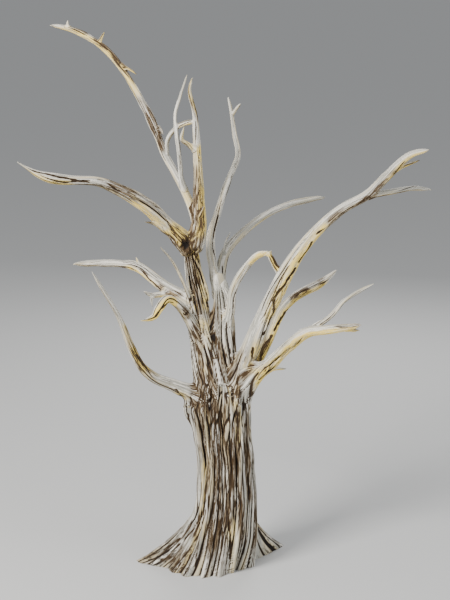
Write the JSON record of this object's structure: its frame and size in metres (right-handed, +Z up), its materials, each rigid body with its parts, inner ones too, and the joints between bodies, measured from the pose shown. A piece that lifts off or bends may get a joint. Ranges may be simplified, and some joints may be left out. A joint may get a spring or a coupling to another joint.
{
  "type": "dead tree",
  "caption": "Weathered dead tree standing bare: fluted trunk with splayed root toes, forking into leaders and crooked, tapering boughs with broken tips",
  "frame": {"origin": "in the flat cut under the trunk at ground level, below the middle of the trunk", "axes": "+Z points up the trunk, +X towards the side of the large right bough, and -Y towards the front, where the ribs splay into root toes"},
  "size_m": [6.5775, 4.5273, 9.2472],
  "materials": {
    "trunk_wood": "weathered silver-grey wood in deep ribs, brown to black in the fissures",
    "bough_wood": "bare weathered wood, pale silver with cream and amber in the hollows"
  },
  "bodies": {
    "root": {"trunk": "trunk_wood", "left_leader": "trunk_wood", "centre_stem": "trunk_wood", "low_left_bough": "bough_wood", "large_right_bough": "bough_wood", "right_prong": "bough_wood", "second_right_bough": "bough_wood", "third_right_bough": "bough_wood", "third_right_fork": "bough_wood", "right_stub": "bough_wood", "middle_left_bough": "bough_wood", "left_stub": "bough_wood", "crooked_left_limb": "bough_wood", "thin_left_twig": "bough_wood", "upper_left_bough": "bough_wood", "tall_left_bough": "bough_wood", "crown_spike": "bough_wood", "crown_cross_limb": "bough_wood", "crown_side_spike": "bough_wood", "s_bough": "bough_wood", "middle_right_bough": "bough_wood", "arch_limb_rise": "bough_wood", "arch_limb_fall": "bough_wood"}
  },
  "joints": []
}
